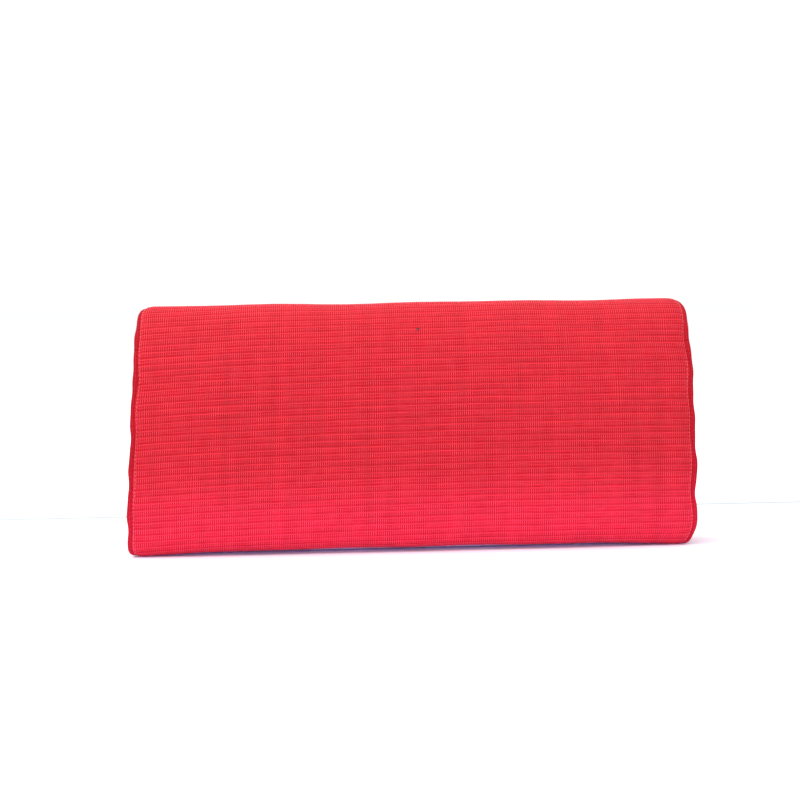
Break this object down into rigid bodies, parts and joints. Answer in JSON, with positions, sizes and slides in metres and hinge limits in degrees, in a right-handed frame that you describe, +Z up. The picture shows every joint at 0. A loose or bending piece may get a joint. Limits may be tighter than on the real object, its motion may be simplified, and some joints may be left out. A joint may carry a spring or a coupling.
{
  "type": "fire blanket",
  "caption": "Fire blanket folded up in a soft red fabric pouch that stands on its long edge, with a hook-and-loop flap over the top and pull tapes.",
  "frame": {"origin": "under the middle of the pouch, on the surface that it stands on", "axes": "+X along the long edge, -Y out of the plain face, +Y out of the closure side, +Z up"},
  "size_m": [0.3, 0.05, 0.13],
  "materials": {
    "red_cloth": "ribbed heavy woven polyester, matt",
    "seam_tape": "turned and stitched cloth edge, matt",
    "webbing": "woven webbing, matt",
    "hook_tape": "nylon hooks",
    "loop_pile": "brushed nylon loops",
    "glass_cloth": "woven glass fibre, slight sheen"
  },
  "bodies": {
    "pouch": {"back_panel": "red_cloth", "bottom_panel": "red_cloth", "front_panel": "red_cloth", "gusset_left": "red_cloth", "gusset_right": "red_cloth", "side_seam_left": "seam_tape", "side_seam_right": "seam_tape", "mouth_tape": "seam_tape", "loop_strip_left": "loop_pile", "loop_strip_right": "loop_pile"},
    "flap_lower": {"flap_shoulder": "red_cloth", "flap_shoulder_edge_left": "seam_tape", "flap_shoulder_edge_right": "seam_tape"},
    "flap_upper": {"flap_top": "red_cloth", "flap_top_edge_left": "seam_tape", "flap_top_edge_right": "seam_tape"},
    "flap_end": {"flap_tail": "red_cloth", "flap_tail_edge_left": "seam_tape", "flap_tail_edge_right": "seam_tape", "flap_tail_hem": "seam_tape", "hook_strip_left": "hook_tape", "hook_strip_right": "hook_tape"},
    "bundle": {"blanket": "glass_cloth", "pull_tape_left": "webbing", "pull_tape_right": "webbing"}
  },
  "joints": [
    {"name": "blanket_pull", "type": "slide", "parent": "pouch", "child": "bundle", "axis": [0, 0, 1], "range_m": [0, 0.056]},
    {"name": "flap_fold", "type": "hinge", "parent": "pouch", "child": "flap_lower", "pos_m": [0, -0.01865, 0.09526], "axis": [1, 0, 0], "range_deg": [0, 110]},
    {"name": "top_fold", "type": "hinge", "parent": "flap_lower", "child": "flap_upper", "pos_m": [0, -0.00763, 0.12058], "axis": [1, 0, 0], "range_deg": [0, 110]},
    {"name": "tail_fold", "type": "hinge", "parent": "flap_upper", "child": "flap_end", "pos_m": [0, 0.02429, 0.12065], "axis": [1, 0, 0], "range_deg": [0, 130]}
  ],
  "couplings": [
    {"joint": "flap_fold", "follows": "blanket_pull", "rad_per_m": 34.283},
    {"joint": "top_fold", "follows": "blanket_pull", "rad_per_m": 34.283},
    {"joint": "tail_fold", "follows": "blanket_pull", "rad_per_m": 40.516}
  ]
}
